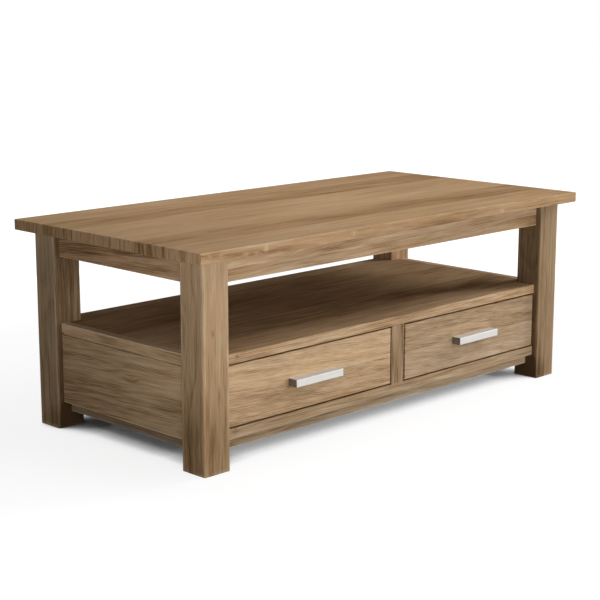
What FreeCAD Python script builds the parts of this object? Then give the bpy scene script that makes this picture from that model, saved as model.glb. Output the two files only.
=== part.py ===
"""Coffee table with an open shelf and two drawers: oak frame, drawer case and drawers, in millimetres.

The origin is on the floor under the middle of the top. X runs along the table, the drawers open
towards -Y, and Z is up.
"""
import FreeCAD
import Part
import Sketcher
import os
import re

SIZES = {
    # Overall
    "table_length": 1200,
    "table_depth": 600,
    "table_height": 450,
    # Top
    "top_thickness": 23,
    "top_overhang": 30,
    "top_edge_radius": 2,
    # Legs
    "leg_width": 67,
    "leg_edge_radius": 3.5,
    # Boards between the legs, all set back from the leg faces
    "face_setback": 15,
    "board_edge_radius": 1.2,
    "apron_height": 52,
    "apron_thickness": 22,
    "batten_width": 20,
    # Drawer case
    "shelf_level": 231,
    "shelf_thickness": 21,
    "lipping_width": 20,
    "case_level": 57,
    "rail_height": 22,
    "rail_thickness": 22,
    "panel_thickness": 18,
    "shadow_groove_height": 4.2,
    "shadow_groove_depth": 4,
    "bottom_thickness": 12,
    "plinth_height": 24,
    "plinth_thickness": 20,
    "plinth_setback": 34,
    "divider_width": 41,
    "divider_offset": 8.8,
    "runner_width": 25,
    "guide_height": 40,
    "stop_height": 30,
    "stop_thickness": 22,
    # Woodworking joints
    "tenon_thickness": 10,
    "tenon_length": 24,
    "tenon_shoulder": 7,
    "plinth_tenon_length": 16,
    "plinth_tenon_shoulder": 4,
    "stub_tenon_length": 8,
    "tongue_thickness": 8,
    "tongue_length": 8,
    "housing_depth": 4,
    "joint_clearance": 0.1,
    "end_relief": 1,
    # Drawers
    "drawer_gap": 3,
    "run_clearance": 0.3,
    "front_thickness": 20,
    "side_thickness": 12,
    "side_drop": 6,
    "back_thickness": 12,
    "back_inset": 10,
    "base_thickness": 5,
    "base_lift": 8,
    "base_groove_depth": 6,
    "tail_length": 13,
    "tail_root": 20,
    "tail_flare": 2.5,
    # Handles
    "handle_length": 138,
    "handle_height": 16,
    "handle_reach": 23,
    "handle_edge_radius": 1.2,
    "handle_screw_inset": 21,
    # Screws
    "screw_diameter": 4,
    "screw_clearance": 0.2,
    "screw_head_diameter": 8,
    "screw_head_height": 2.5,
    "screw_bite": 12,
    "top_screw_inset": 150,
    "base_screw_inset": 60,
}

DERIVED = {
    "top_underside": "table_height - top_thickness",
    "leg_face_x": "table_length / 2 - top_overhang",
    "leg_face_y": "table_depth / 2 - top_overhang",
    "leg_inner_x": "leg_face_x - leg_width",
    "leg_inner_y": "leg_face_y - leg_width",
    "board_face_x": "leg_face_x - face_setback",
    "board_face_y": "leg_face_y - face_setback",
    "apron_bottom": "top_underside - apron_height",
    "apron_inner_x": "board_face_x - apron_thickness",
    "apron_inner_y": "board_face_y - apron_thickness",
    "shelf_bottom": "shelf_level - shelf_thickness",
    "rail_top": "case_level + rail_height",
    "rail_inner_y": "board_face_y - rail_thickness",
    "bottom_top": "case_level + bottom_thickness",
    "panel_inner_x": "board_face_x - panel_thickness",
    "panel_inner_y": "board_face_y - panel_thickness",
    "plinth_bottom": "case_level - plinth_height",
    "plinth_face_x": "leg_face_x - plinth_setback",
    "plinth_face_y": "leg_face_y - plinth_setback",
    "divider_left": "divider_offset - divider_width / 2",
    "divider_right": "divider_offset + divider_width / 2",
    "mortise_thickness": "tenon_thickness + 2 * joint_clearance",
    "groove_width": "tongue_thickness + 2 * joint_clearance",
    "drawer_depth": "panel_inner_y + board_face_y - stop_thickness - run_clearance",
    "opening_height": "shelf_bottom - rail_top",
    "front_top": "opening_height - drawer_gap",
    "side_top": "front_top - side_drop",
    "side_height": "side_top - run_clearance",
    "base_top": "base_lift + base_thickness",
    "back_end": "drawer_depth - back_inset",
    "back_start": "back_end - back_thickness",
    "handle_middle": "(drawer_gap + front_top) / 2",
    "handle_hole": "handle_length / 2 - handle_screw_inset",
    "hole_diameter": "screw_diameter + 2 * screw_clearance",
    "stop_face": "panel_inner_y - stop_thickness",
}

TAILS = 3
TOLERANCE = 0.01
LEAST_CUT = 1.0
SIDES = {"left": -1, "right": 1}
FACES = {"front": -1, "rear": 1}

# Sketch planes, and whether each one's normal points along its axis
PLANES = {"XY_Plane": True, "XZ_Plane": False, "YZ_Plane": True}

doc = FreeCAD.newDocument("CoffeeTable")
sheet = doc.addObject("Spreadsheet::Sheet", "Sizes")
for row, (alias, size) in enumerate(SIZES.items(), 1):
    sheet.set(f"A{row}", alias)
    sheet.set(f"B{row}", str(size))
    sheet.setAlias(f"B{row}", alias)
doc.recompute()

nodes = []


def formula(text):
    """The expression for a size formula, with each word replaced by its cell or its own formula."""
    def spell(match):
        word = match.group(0)
        if word in DERIVED:
            return f"({formula(DERIVED[word])})"
        return f"Sizes.{word}"
    return re.sub(r"[a-z_]+", spell, text)


def bind(item, path, text):
    """Bind one property of an object to a size formula."""
    item.setExpression(path, formula(text))


def place(item, x, y, z):
    """Bind an object's position to three size formulas."""
    for axis, text in zip("xyz", (x, y, z)):
        bind(item, f"Placement.Base.{axis}", text)


def span(sign, low, high):
    """Start and end along an axis of a stretch that is given outwards from the middle."""
    if sign > 0:
        return low, high
    return f"-({high})", f"-({low})"


def rect(left, bottom, right, top):
    """The corners of a rectangle."""
    return [(left, bottom), (right, bottom), (right, top), (left, top)]


def strip(middle, thickness):
    """Low and high side of a thickness about its middle."""
    return f"{middle} - ({thickness}) / 2", f"{middle} + ({thickness}) / 2"


def new_body(label, x="0", y="0", z="0"):
    """A piece of the table, at its own reference point."""
    body = doc.addObject("PartDesign::Body", label)
    body.Label = label
    place(body, x, y, z)
    nodes.append(body)
    return body


def new_sketch(body, name, plane, start):
    """A sketch on one of the body's own planes, moved along the plane's axis to start."""
    sketch = body.newObject("Sketcher::SketchObject", f"{body.Name}_{name}_sketch")
    origin_plane = next(item for item in body.Origin.OriginFeatures if item.Role == plane)
    sketch.AttachmentSupport = [(origin_plane, "")]
    sketch.MapMode = "FlatFace"
    bind(sketch, "AttachmentOffset.Base.z", start if PLANES[plane] else f"-({start})")
    return sketch


def pin_point(sketch, geometry, point, across, up):
    """Hold a point of the sketch at its distances from the sketch origin."""
    for kind, text in (("DistanceX", across), ("DistanceY", up)):
        index = sketch.addConstraint(Sketcher.Constraint(kind, -1, 1, geometry, point, 1.0))
        bind(sketch, f"Constraints[{index}]", text)


def draw_outline(sketch, corners):
    """Draw a closed outline of straight lines through corners given as size formulas."""
    first = sketch.GeometryCount
    count = len(corners)
    ring = [FreeCAD.Vector(100, 0, 0)]
    turn = FreeCAD.Rotation(FreeCAD.Vector(0, 0, 1), 360 / count)
    for _ in range(count):
        ring.append(turn.multVec(ring[-1]))
    for corner in range(count):
        sketch.addGeometry(Part.LineSegment(ring[corner], ring[corner + 1]))
    for corner in range(count):
        following = first + (corner + 1) % count
        sketch.addConstraint(Sketcher.Constraint("Coincident", first + corner, 2, following, 1))
    for corner, (across, up) in enumerate(corners):
        pin_point(sketch, first + corner, 1, across, up)


def draw_circles(sketch, centres, diameter):
    """Draw equal circles at centres given as size formulas."""
    for across, up in centres:
        circle = sketch.addGeometry(Part.Circle(FreeCAD.Vector(), FreeCAD.Vector(0, 0, 1), 1.0))
        pin_point(sketch, circle, 3, across, up)
        index = sketch.addConstraint(Sketcher.Constraint("Diameter", circle, 2.0))
        bind(sketch, f"Constraints[{index}]", diameter)


def extrude(body, kind, name, sketch, reverse, start, end):
    """Pad or pocket a sketch from start to end along its plane's axis."""
    feature = body.newObject(kind, f"{body.Name}_{name}")
    feature.Profile = sketch
    feature.Reversed = reverse
    bind(feature, "Length", f"({end}) - ({start})")
    return feature


def pad(body, name, plane, outlines, start, end):
    """Add what lies inside the outlines, from start to end along the plane's axis."""
    sketch = new_sketch(body, name, plane, start)
    for corners in outlines:
        draw_outline(sketch, corners)
    return extrude(body, "PartDesign::Pad", name, sketch, not PLANES[plane], start, end)


def cut(body, name, plane, outlines, start, end):
    """Take away what lies inside the outlines, from start to end along the plane's axis."""
    sketch = new_sketch(body, name, plane, start)
    for corners in outlines:
        draw_outline(sketch, corners)
    return extrude(body, "PartDesign::Pocket", name, sketch, PLANES[plane], start, end)


def drill(body, name, plane, centres, start, end):
    """Drill screw holes from start to end along the plane's axis."""
    sketch = new_sketch(body, name, plane, start)
    draw_circles(sketch, centres, "hole_diameter")
    return extrude(body, "PartDesign::Pocket", name, sketch, PLANES[plane], start, end)


def is_upright(edge, box):
    """Whether an edge stands upright over the full height of the shape."""
    full_height = abs(edge.BoundBox.ZLength - box.ZLength) < TOLERANCE
    return full_height and edge.BoundBox.DiagonalLength < box.ZLength + TOLERANCE


def is_level(edge, box):
    """Whether an edge runs level, at whatever height."""
    return edge.BoundBox.ZLength < TOLERANCE


def lies_on(axis, side):
    """A test for edges in the outermost plane of the shape at one side of an axis."""
    def test(edge, box):
        limit = getattr(box, f"{axis}{side}")
        ends = [getattr(edge.BoundBox, f"{axis}{end}") for end in ("Min", "Max")]
        return all(abs(end - limit) < TOLERANCE for end in ends)
    return test


def ease(body, name, radius, *tests):
    """Round the edges of the body that pass any of the tests."""
    doc.recompute()
    base = body.Tip
    box = base.Shape.BoundBox
    chosen = [
        f"Edge{number}"
        for number, edge in enumerate(base.Shape.Edges, 1)
        if any(test(edge, box) for test in tests)
    ]
    fillet = body.newObject("PartDesign::Fillet", f"{body.Name}_{name}")
    fillet.Base = (base, chosen)
    bind(fillet, "Radius", radius)


def ease_rims(body, *sides):
    """Ease the level edges of a board on the given sides of it."""
    ease(body, "edges", "board_edge_radius",
         lambda edge, box: is_level(edge, box) and any(side(edge, box) for side in sides))


def screw_group(label, spot, seats, tilt, length):
    """Identical pan-head screws as one group, each starting at the top of its head.

    They point up, or towards -Y when tilted by 90 degrees.
    """
    turn = FreeCAD.Rotation(FreeCAD.Vector(1, 0, 0), tilt)
    screws = []
    for number, seat in enumerate(seats, 1):
        shank = doc.addObject("Part::Cylinder", f"{label}_shank_{number}")
        bind(shank, "Radius", "screw_diameter / 2")
        bind(shank, "Height", f"{length} + screw_head_height")
        head = doc.addObject("Part::Cylinder", f"{label}_head_{number}")
        bind(head, "Radius", "screw_head_diameter / 2")
        bind(head, "Height", "screw_head_height")
        screw = doc.addObject("Part::Fuse", f"{label}_screw_{number}")
        screw.Base = shank
        screw.Tool = head
        screw.Placement = FreeCAD.Placement(FreeCAD.Vector(), turn)
        place(screw, *seat)
        screws.append(screw)
    group = doc.addObject("Part::Compound", label)
    group.Label = label
    group.Links = screws
    place(group, *spot)
    nodes.append(group)


def table_top():
    """The top board, with eased edges and pilot holes for the screws in the battens."""
    body = new_body("table_top", z="top_underside")
    half = ("table_length / 2", "table_depth / 2")
    outline = rect(f"-{half[0]}", f"-{half[1]}", *half)
    pad(body, "board", "XY_Plane", [outline], "0", "top_thickness")
    ease(body, "edges", "top_edge_radius", is_upright, lies_on("Z", "Min"), lies_on("Z", "Max"))
    drill(body, "pilots", "XY_Plane", top_screw_places(), "0", "screw_bite + end_relief")


def top_screw_places():
    """Centres of the screws that hold the top, along the four battens."""
    middle_x = "(apron_inner_x - batten_width / 2)"
    middle_y = "(apron_inner_y - batten_width / 2)"
    along = [(f"{side} * (leg_inner_x - top_screw_inset)", f"{face} * {middle_y}")
             for face in FACES.values() for side in SIDES.values()]
    across = [(f"{side} * {middle_x}", "0") for side in SIDES.values()]
    return along + across


def leg(label, side, face):
    """A square leg at one corner, with the mortises and grooves for the boards that meet it.

    Its reference point is the outer corner on the floor, so its inner faces are leg_width inwards.
    """
    body = new_body(label, f"{side} * leg_face_x", f"{face} * leg_face_y")
    pad(body, "post", "XY_Plane", [rect("0", "0", f"{-side} * leg_width", f"{-face} * leg_width")],
        "0", "top_underside")
    ease(body, "edges", "leg_edge_radius", is_upright)
    apron = ("apron", "face_setback + apron_thickness / 2", "mortise_thickness",
             "apron_bottom + tenon_shoulder", "top_underside - tenon_shoulder", "tenon_length")
    plinth = ("plinth", "plinth_setback + plinth_thickness / 2", "mortise_thickness",
              "plinth_bottom + plinth_tenon_shoulder", "case_level - plinth_tenon_shoulder",
              "plinth_tenon_length")
    panel = ("panel", "face_setback + panel_thickness / 2", "groove_width",
             "case_level", "shelf_bottom + tongue_length", "tongue_length")
    rail = ("rail", "face_setback + rail_thickness / 2", "mortise_thickness",
            "case_level + plinth_tenon_shoulder", "rail_top - plinth_tenon_shoulder", "tenon_length")
    lengthwise = (apron, plinth, rail if face < 0 else panel)
    crosswise = (apron, plinth, panel)
    runs = (
        ("lengthwise", "YZ_Plane", side, face, lengthwise),
        ("crosswise", "XZ_Plane", face, side, crosswise),
    )
    for run, plane, along, across, joints in runs:
        for name, middle, width, low, high, depth in joints:
            near, far = strip(f"-({middle})", width)
            slot = rect(f"{across} * ({near})", f"{low} - joint_clearance",
                        f"{across} * ({far})", f"{high} + joint_clearance")
            cut(body, f"{name}_{run}", plane, [slot],
                *span(along, "-leg_width", f"{depth} + end_relief - leg_width"))


def long_board(label, face, outer, thickness, low, high, middle, tenon, shoulder, length):
    """A board along X between two legs, tenoned at both ends. Its outer face is at outer."""
    body = new_body(label, y=f"{face} * {outer}", z=low)
    height = f"{high} - ({low})"
    pad(body, "board", "XZ_Plane", [rect("-leg_inner_x", "0", "leg_inner_x", height)],
        *span(face, f"-{thickness}", "0"))
    reach = f"leg_inner_x + {length}"
    pad(body, "tenons", "XZ_Plane", [rect(f"-({reach})", shoulder, reach, f"{height} - {shoulder}")],
        *span(face, *strip(f"-{middle}", tenon)))
    return body


def end_board(label, side, outer, thickness, low, high, middle, tenon, shoulder, length):
    """A board along Y between two legs, tenoned at both ends. Its outer face is at outer."""
    body = new_body(label, x=f"{side} * {outer}", z=low)
    height = f"{high} - ({low})"
    pad(body, "board", "YZ_Plane", [rect("-leg_inner_y", "0", "leg_inner_y", height)],
        *span(side, f"-{thickness}", "0"))
    reach = f"leg_inner_y + {length}"
    pad(body, "tenons", "YZ_Plane", [rect(f"-({reach})", shoulder, reach, f"{height} - {shoulder}")],
        *span(side, *strip(f"-{middle}", tenon)))
    return body


def aprons():
    """The four boards under the top, with their lower edges eased."""
    shape = ("apron_thickness", "apron_bottom", "top_underside", "apron_thickness / 2",
             "tenon_thickness", "tenon_shoulder", "tenon_length")
    for name, face in FACES.items():
        body = long_board(f"apron_{name}", face, "board_face_y", *shape)
        ease(body, "edges", "board_edge_radius", lies_on("Z", "Min"))
    for name, side in SIDES.items():
        body = end_board(f"apron_{name}", side, "board_face_x", *shape)
        ease(body, "edges", "board_edge_radius", lies_on("Z", "Min"))


def plinth():
    """The four recessed rails that carry the drawer case."""
    shape = ("plinth_thickness", "plinth_bottom", "case_level", "plinth_thickness / 2",
             "tenon_thickness", "plinth_tenon_shoulder", "plinth_tenon_length")
    for name, face in FACES.items():
        long_board(f"plinth_{name}", face, "plinth_face_y", *shape)
    for name, side in SIDES.items():
        end_board(f"plinth_{name}", side, "plinth_face_x", *shape)


def top_battens():
    """Battens glued inside the aprons, drilled for the screws that hold the top."""
    low = "top_underside - batten_width"
    for name, face in FACES.items():
        body = new_body(f"top_batten_{name}", y=f"{face} * apron_inner_y", z=low)
        pad(body, "board", "XZ_Plane", [rect("-leg_inner_x", "0", "leg_inner_x", "batten_width")],
            *span(face, "-batten_width", "0"))
        centres = [(f"{side} * (leg_inner_x - top_screw_inset)", f"{-face} * batten_width / 2")
                   for side in SIDES.values()]
        drill(body, "holes", "XY_Plane", centres, "0", "batten_width")
    for name, side in SIDES.items():
        body = new_body(f"top_batten_{name}", x=f"{side} * apron_inner_x", z=low)
        pad(body, "board", "YZ_Plane", [rect("-leg_inner_y", "0", "leg_inner_y", "batten_width")],
            *span(side, "-batten_width", "0"))
        drill(body, "holes", "XY_Plane", [(f"{-side} * batten_width / 2", "0")], "0", "batten_width")
    seats = [(x, y, "-screw_head_height") for x, y in top_screw_places()]
    screw_group("top_screws", ("0", "0", low), seats, 0, "batten_width + screw_bite")


def notched_outline(reach_x, front, rear):
    """A board outline with its four corners cut away around the legs."""
    inner_x = "(leg_inner_x - joint_clearance)"
    inner_y = "(leg_inner_y - joint_clearance)"
    return [
        (f"-{inner_x}", front), (inner_x, front), (inner_x, f"-{inner_y}"), (reach_x, f"-{inner_y}"),
        (reach_x, inner_y), (inner_x, inner_y), (inner_x, rear), (f"-{inner_x}", rear),
        (f"-{inner_x}", inner_y), (f"-{reach_x}", inner_y), (f"-{reach_x}", f"-{inner_y}"),
        (f"-{inner_x}", f"-{inner_y}"),
    ]


def partition_housing():
    """The footprint of the partition, as cut into the boards above and below it."""
    return rect("divider_left - joint_clearance", "-rail_inner_y",
                "divider_right + joint_clearance", "panel_inner_y")


def shelf():
    """The shelf board over the drawers, housed over the rear panel, the post and the partition."""
    body = new_body("shelf_board", z="shelf_bottom")
    outline = notched_outline("(board_face_x - lipping_width)", "-board_face_y", "board_face_y")
    pad(body, "board", "XY_Plane", [outline], "0", "shelf_thickness")
    ease_rims(body, lies_on("Y", "Min"), lies_on("Y", "Max"))
    low, high = strip("(board_face_y - panel_thickness / 2)", "groove_width")
    inner_x = "(leg_inner_x - joint_clearance)"
    cut(body, "panel_groove", "XY_Plane", [rect(f"-{inner_x}", low, inner_x, high)],
        "0", "tongue_length + end_relief")
    cut(body, "partition_housing", "XY_Plane", [partition_housing()], "0", "housing_depth")
    cut(body, "post_mortise", "XY_Plane", [post_mortise()], "0", "stub_tenon_length + end_relief")


def shelf_lippings():
    """The lippings glued to the ends of the shelf board, between the legs and over the end panels."""
    low, high = strip("-panel_thickness / 2", "groove_width")
    inner_y = "(leg_inner_y - joint_clearance)"
    for name, side in SIDES.items():
        body = new_body(f"shelf_lipping_{name}", x=f"{side} * board_face_x", z="shelf_bottom")
        pad(body, "board", "XY_Plane", [rect(f"{-side} * lipping_width", f"-{inner_y}", "0", inner_y)],
            "0", "shelf_thickness")
        ease_rims(body, lies_on("X", "Min" if side < 0 else "Max"))
        cut(body, "panel_groove", "XY_Plane",
            [rect(f"{side} * ({low})", f"-{inner_y}", f"{side} * ({high})", inner_y)],
            "0", "tongue_length + end_relief")


def post_mortise():
    """The footprint of the mortises for the stub tenons of the divider post."""
    near, far = strip("(rail_thickness / 2 - board_face_y)", "mortise_thickness")
    return rect("divider_left + tenon_shoulder - joint_clearance", near,
                "divider_right - tenon_shoulder + joint_clearance", far)


def case_panels():
    """End and rear panels of the case, tongued into the legs and the shelf."""
    height = "shelf_bottom - case_level"
    tongue_top = f"{height} + tongue_length"
    middle = strip("-panel_thickness / 2", "tongue_thickness")
    groove = ("-shadow_groove_depth", "0")
    line = (f"{height} - shadow_groove_height", height)
    for name, side in SIDES.items():
        body = new_body(f"end_panel_{name}", x=f"{side} * board_face_x", z="case_level")
        pad(body, "board", "YZ_Plane", [rect("-leg_inner_y", "0", "leg_inner_y", height)],
            *span(side, "-panel_thickness", "0"))
        reach = "leg_inner_y + tongue_length"
        pad(body, "tongue", "YZ_Plane", [rect(f"-({reach})", "0", reach, tongue_top)], *span(side, *middle))
        cut(body, "shadow_groove", "YZ_Plane", [rect("-leg_inner_y", line[0], "leg_inner_y", line[1])],
            *span(side, *groove))
    body = new_body("rear_panel", y="board_face_y", z="case_level")
    pad(body, "board", "XZ_Plane", [rect("-leg_inner_x", "0", "leg_inner_x", height)],
        "-panel_thickness", "0")
    reach = "leg_inner_x + tongue_length"
    pad(body, "tongue", "XZ_Plane", [rect(f"-({reach})", "0", reach, tongue_top)], *middle)
    cut(body, "shadow_groove", "XZ_Plane", [rect("-leg_inner_x", line[0], "leg_inner_x", line[1])], *groove)


def case_bottom():
    """The bottom board of the case, on the plinth, with the housing for the partition."""
    body = new_body("case_bottom", z="case_level")
    outline = notched_outline("panel_inner_x", "-rail_inner_y", "panel_inner_y")
    pad(body, "board", "XY_Plane", [outline], "0", "bottom_thickness")
    cut(body, "partition_housing", "XY_Plane", [partition_housing()],
        "bottom_thickness - housing_depth", "bottom_thickness")


def front_rail():
    """The rail under the drawers, with the mortise for the divider post."""
    body = long_board("front_rail", -1, "board_face_y", "rail_thickness", "case_level", "rail_top",
                      "rail_thickness / 2", "tenon_thickness", "plinth_tenon_shoulder", "tenon_length")
    mortise = [(x, f"{y} + board_face_y") for x, y in post_mortise()]
    cut(body, "post_mortise", "XY_Plane", [mortise],
        "rail_height - stub_tenon_length - end_relief", "rail_height")


def divider():
    """The post between the drawers and the partition behind it."""
    post = new_body("divider_post", "divider_offset", "-board_face_y", "rail_top")
    half = "divider_width / 2"
    pad(post, "board", "XZ_Plane", [rect(f"-{half}", "0", half, "opening_height")], "0", "rail_thickness")
    tenon = f"({half} - tenon_shoulder)"
    pad(post, "tenons", "XZ_Plane",
        [rect(f"-{tenon}", "-stub_tenon_length", tenon, "opening_height + stub_tenon_length")],
        *strip("rail_thickness / 2", "tenon_thickness"))
    partition = new_body("partition", "divider_offset", "0", "bottom_top")
    height = "shelf_bottom - bottom_top + housing_depth"
    pad(partition, "board", "YZ_Plane", [rect("-rail_inner_y", "-housing_depth", "panel_inner_y", height)],
        f"-{half}", half)


def running_gear():
    """The runners and side guides that carry the drawers, and the stops behind them."""
    edges = {
        "runner_left_outer": ("-leg_inner_x", "1"),
        "runner_left_inner": ("divider_left", "-1"),
        "runner_right_inner": ("divider_right", "1"),
        "runner_right_outer": ("leg_inner_x", "-1"),
    }
    stops = []
    for label, (edge, inwards) in edges.items():
        body = new_body(label, edge, "0", "bottom_top")
        far = f"{inwards} * runner_width"
        pad(body, "board", "XY_Plane", [rect("0", "-rail_inner_y", far, "panel_inner_y")],
            "0", "rail_top - bottom_top")
        stop = doc.addObject("Part::Box", f"stop_on_{label}")
        bind(stop, "Length", "runner_width")
        bind(stop, "Width", "stop_thickness")
        bind(stop, "Height", "stop_height")
        place(stop, edge if inwards == "1" else f"{edge} - runner_width", "stop_face", "rail_top")
        stops.append(stop)
    group = doc.addObject("Part::Compound", "drawer_stops")
    group.Label = "drawer_stops"
    group.Links = stops
    nodes.append(group)
    for name, side in SIDES.items():
        body = new_body(f"drawer_guide_{name}", f"{side} * leg_inner_x", "0", "bottom_top")
        pad(body, "board", "YZ_Plane", [rect("-leg_inner_y", "0", "leg_inner_y", "guide_height")],
            *span(side, "0", "panel_inner_x - leg_inner_x"))


def tails(length, widen):
    """The dovetail outlines at the front end of a drawer side, seen from the side."""
    outlines = []
    for number in range(TAILS):
        middle = f"run_clearance + side_height * {number + 0.5} / {TAILS}"
        root = f"(tail_root / 2 + {widen})"
        tip = f"(tail_root / 2 + tail_flare + {widen})"
        end = f"front_thickness - ({length})"
        outlines.append([("front_thickness", f"{middle} - {root}"), ("front_thickness", f"{middle} + {root}"),
                         (end, f"{middle} + {tip}"), (end, f"{middle} - {tip}")])
    return outlines


def drawer(name, low, high):
    """A dovetailed drawer for the opening from low to high, with its handle and screws.

    Every piece has its reference point in the middle of the drawer, at its front face and on the
    running surface.
    """
    spot = (f"({low} + {high}) / 2", "-board_face_y", "rail_top")
    half = f"(({high} - ({low})) / 2 - drawer_gap)"
    inner = f"({half} - side_thickness)"
    label = f"drawer_{name}"

    front = new_body(f"{label}_front", *spot)
    pad(front, "board", "XZ_Plane", [rect(f"-{half}", "drawer_gap", half, "front_top")],
        "0", "front_thickness")
    ease(front, "edges", "board_edge_radius", lies_on("Y", "Min"))
    for end, sign in SIDES.items():
        cut(front, f"sockets_{end}", "YZ_Plane", tails("tail_length + joint_clearance", "joint_clearance"),
            *span(sign, f"{inner} - joint_clearance", half))
    groove = f"({inner} + base_groove_depth)"
    cut(front, "base_groove", "XZ_Plane", [rect(f"-{groove}", "base_lift", groove, "base_top")],
        "front_thickness - base_groove_depth", "front_thickness")
    centres = [(f"{sign} * handle_hole", "handle_middle") for sign in SIDES.values()]
    drill(front, "handle_holes", "XZ_Plane", centres, "0", "front_thickness")

    for end, sign in SIDES.items():
        side = new_body(f"{label}_{end}_side", *spot)
        walls = span(sign, inner, half)
        pad(side, "board", "YZ_Plane",
            [rect("front_thickness", "run_clearance", "drawer_depth", "side_top")], *walls)
        pad(side, "tails", "YZ_Plane", tails("tail_length", "0"), *walls)
        cut(side, "base_groove", "YZ_Plane",
            [rect("front_thickness - tail_length", "base_lift", "drawer_depth", "base_top")],
            *span(sign, inner, groove))
        cut(side, "back_housing", "YZ_Plane", [rect("back_start", "base_top", "back_end", "side_top")],
            *span(sign, inner, f"{inner} + housing_depth"))

    back = new_body(f"{label}_back", *spot)
    wide = f"({inner} + housing_depth)"
    pad(back, "board", "XZ_Plane", [rect(f"-{wide}", "base_top", wide, "side_top")], "back_start", "back_end")
    base_screws = [(f"{sign} * ({inner} - base_screw_inset)", "(back_start + back_end) / 2")
                   for sign in SIDES.values()]
    drill(back, "pilots", "XY_Plane", base_screws, "base_top", "base_top + screw_bite + end_relief")

    base = new_body(f"{label}_base", *spot)
    side_edge = f"({groove} - joint_clearance)"
    front_edge = "front_thickness - base_groove_depth + joint_clearance"
    pad(base, "board", "XY_Plane", [rect(f"-{side_edge}", front_edge, side_edge, "back_end")],
        "base_lift", "base_top")
    drill(base, "holes", "XY_Plane", base_screws, "base_lift", "base_top")
    seats = [(x, y, "base_lift - screw_head_height") for x, y in base_screws]
    screw_group(f"{label}_base_screws", spot, seats, 0, "base_thickness + screw_bite")

    handle(f"{label}_handle", spot)
    seats = [(x, "front_thickness + screw_head_height", z) for x, z in centres]
    screw_group(f"{label}_handle_screws", spot, seats, 90, "front_thickness + screw_bite")


def handle(label, spot):
    """A solid square bar that lies against the drawer's front, drilled for its screws."""
    body = new_body(label, *spot)
    half = "handle_length / 2"
    pad(body, "bar", "XY_Plane", [rect(f"-{half}", "-handle_reach", half, "0")],
        *strip("handle_middle", "handle_height"))
    ease(body, "edges", "handle_edge_radius", lies_on("Y", "Min"))
    centres = [(f"{sign} * handle_hole", "handle_middle") for sign in SIDES.values()]
    drill(body, "screw_holes", "XZ_Plane", centres, "-(screw_bite + end_relief)", "0")


def build():
    """Build every piece of the table."""
    table_top()
    for face_name, face in FACES.items():
        for side_name, side in SIDES.items():
            leg(f"leg_{face_name}_{side_name}", side, face)
    aprons()
    top_battens()
    plinth()
    shelf()
    shelf_lippings()
    case_panels()
    case_bottom()
    front_rail()
    divider()
    running_gear()
    drawer("left", "-leg_inner_x", "divider_left")
    drawer("right", "divider_right", "leg_inner_x")
    doc.recompute()


def check():
    """Stop if an object failed, a cut took nothing away or a piece is not sound."""
    for item in doc.Objects:
        if "Invalid" in item.State or "Error" in item.State:
            raise RuntimeError(f"{item.Name} failed: {item.State}")
        if item.TypeId == "PartDesign::Pocket":
            if item.Shape.Volume > item.BaseFeature.Shape.Volume - LEAST_CUT:
                raise RuntimeError(f"{item.Name} takes nothing away")
    for node in nodes:
        if node.Shape.isNull() or not node.Shape.isValid():
            raise RuntimeError(f"{node.Label} is not sound")


def write():
    """Write each piece to its own file."""
    os.makedirs("parts", exist_ok=True)
    for node in nodes:
        node.Shape.exportStep(f"parts/{node.Label}.step")
        print(node.Label, len(node.Shape.Solids), round(node.Shape.Volume))


build()
check()
write()
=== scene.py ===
"""Looks of the oak coffee table, in metres: its finishes, its screws, the floor, the light and the camera.

X runs along the table, the drawers open towards -Y, and Z is up. The boards come from the frame, and each
one has its grain drawn through its solid, so faces, edges and end grain belong together. The tints, shades
and stains of the boards were fitted to the photograph, and some of them are painted light and painted
shade, standing for light that the lamps don't give.
"""

import logging
import math
import random
from dataclasses import dataclass, replace
from enum import Enum
from typing import Sequence, Union

import bmesh
import bpy
from mathutils import Euler, Matrix, Vector


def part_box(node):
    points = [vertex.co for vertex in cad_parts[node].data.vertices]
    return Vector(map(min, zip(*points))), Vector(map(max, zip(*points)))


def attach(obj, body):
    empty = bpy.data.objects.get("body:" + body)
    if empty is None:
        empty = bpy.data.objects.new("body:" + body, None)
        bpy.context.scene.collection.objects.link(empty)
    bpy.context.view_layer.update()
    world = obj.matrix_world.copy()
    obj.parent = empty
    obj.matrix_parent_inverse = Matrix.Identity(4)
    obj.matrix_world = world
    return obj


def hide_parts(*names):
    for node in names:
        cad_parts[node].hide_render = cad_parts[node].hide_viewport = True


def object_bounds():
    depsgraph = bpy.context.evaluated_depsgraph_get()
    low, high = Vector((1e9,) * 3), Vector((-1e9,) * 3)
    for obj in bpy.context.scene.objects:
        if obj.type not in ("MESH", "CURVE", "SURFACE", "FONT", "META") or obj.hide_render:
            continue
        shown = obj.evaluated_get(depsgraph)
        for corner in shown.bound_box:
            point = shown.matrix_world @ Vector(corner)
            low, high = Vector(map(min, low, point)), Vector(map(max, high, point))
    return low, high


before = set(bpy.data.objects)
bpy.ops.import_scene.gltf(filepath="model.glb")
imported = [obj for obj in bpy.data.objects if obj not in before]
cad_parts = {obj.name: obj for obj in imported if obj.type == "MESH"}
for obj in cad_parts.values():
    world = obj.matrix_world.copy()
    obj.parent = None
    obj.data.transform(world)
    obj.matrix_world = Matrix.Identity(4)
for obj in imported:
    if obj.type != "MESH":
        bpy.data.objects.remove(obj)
CAD_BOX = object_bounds()
MM = 0.001
LOG = logging.getLogger("coffee_table")

Colour = tuple[float, float, float]
Point = tuple[float, float, float]
Span = tuple[float, float]
Socket = bpy.types.NodeSocket
Value = Union[float, Sequence[float], Socket]


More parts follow.
